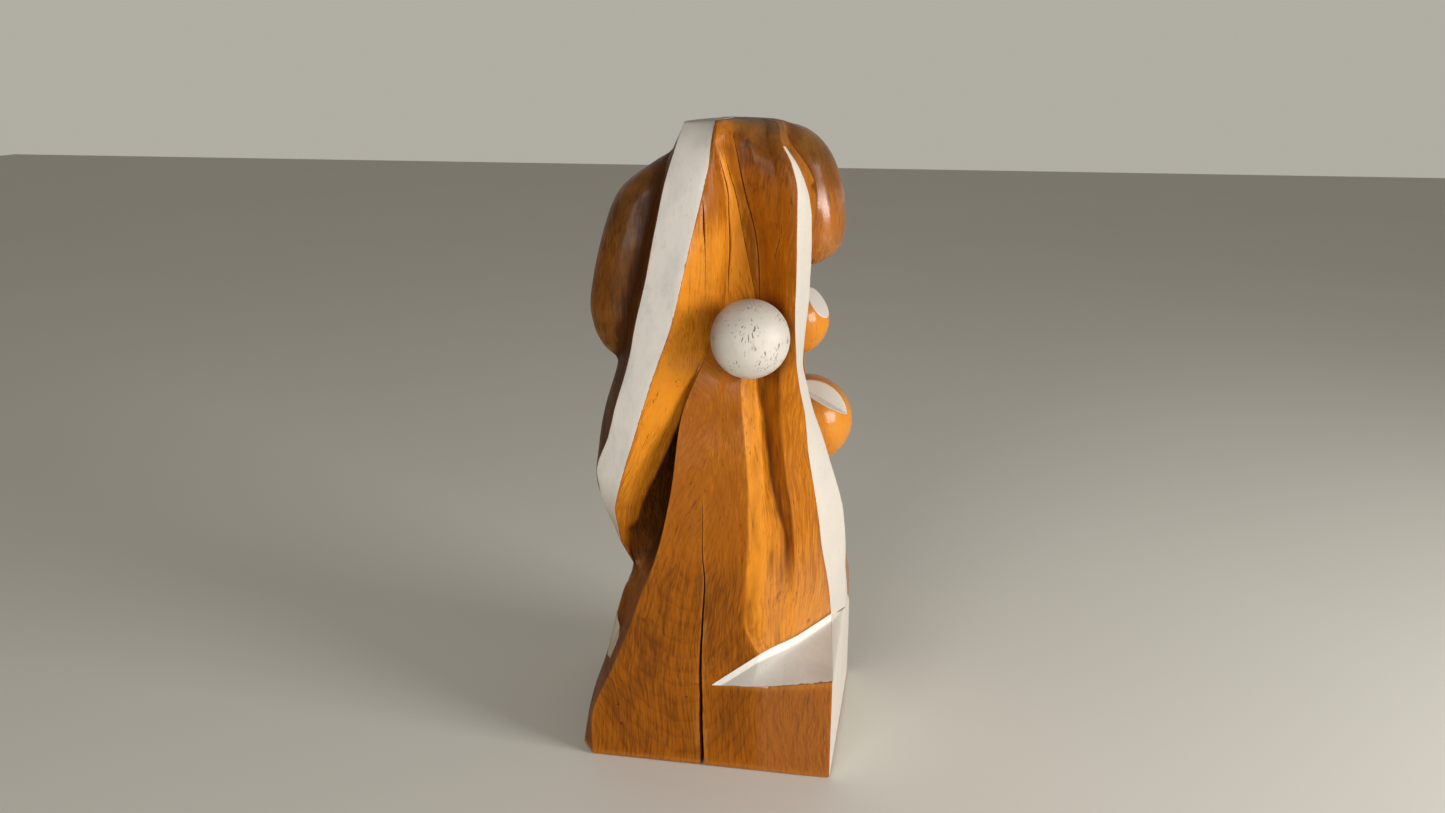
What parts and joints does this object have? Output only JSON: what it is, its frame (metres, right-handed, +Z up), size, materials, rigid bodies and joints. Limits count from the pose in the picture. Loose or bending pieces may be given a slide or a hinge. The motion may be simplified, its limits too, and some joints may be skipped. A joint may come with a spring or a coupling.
{
  "type": "carved wooden figure",
  "caption": "Tall abstract figure carved from one varnished wooden block, with painted facets, a ball on the front, a notched ball and a capped knob on its right side.",
  "frame": {"origin": "centre of the flat base, on the surface the figure stands on", "axes": "+Z up the figure, -Y out of its carved front, +X to the side with the notched ball"},
  "size_m": [0.124, 0.1122, 0.3],
  "materials": {
    "varnished_wood": "honey-coloured satin varnish over fine vertical grain",
    "white_paint": "chalky white paint on wood, worn and brush-marked",
    "bare_wood": "unfinished turned dowel"
  },
  "bodies": {
    "root": {"trunk": "varnished_wood", "front_ball": "white_paint", "front_ball_dowel": "bare_wood", "side_knob": "varnished_wood", "side_knob_dowel": "bare_wood", "side_ball": "varnished_wood", "side_ball_dowel": "bare_wood"}
  },
  "joints": []
}
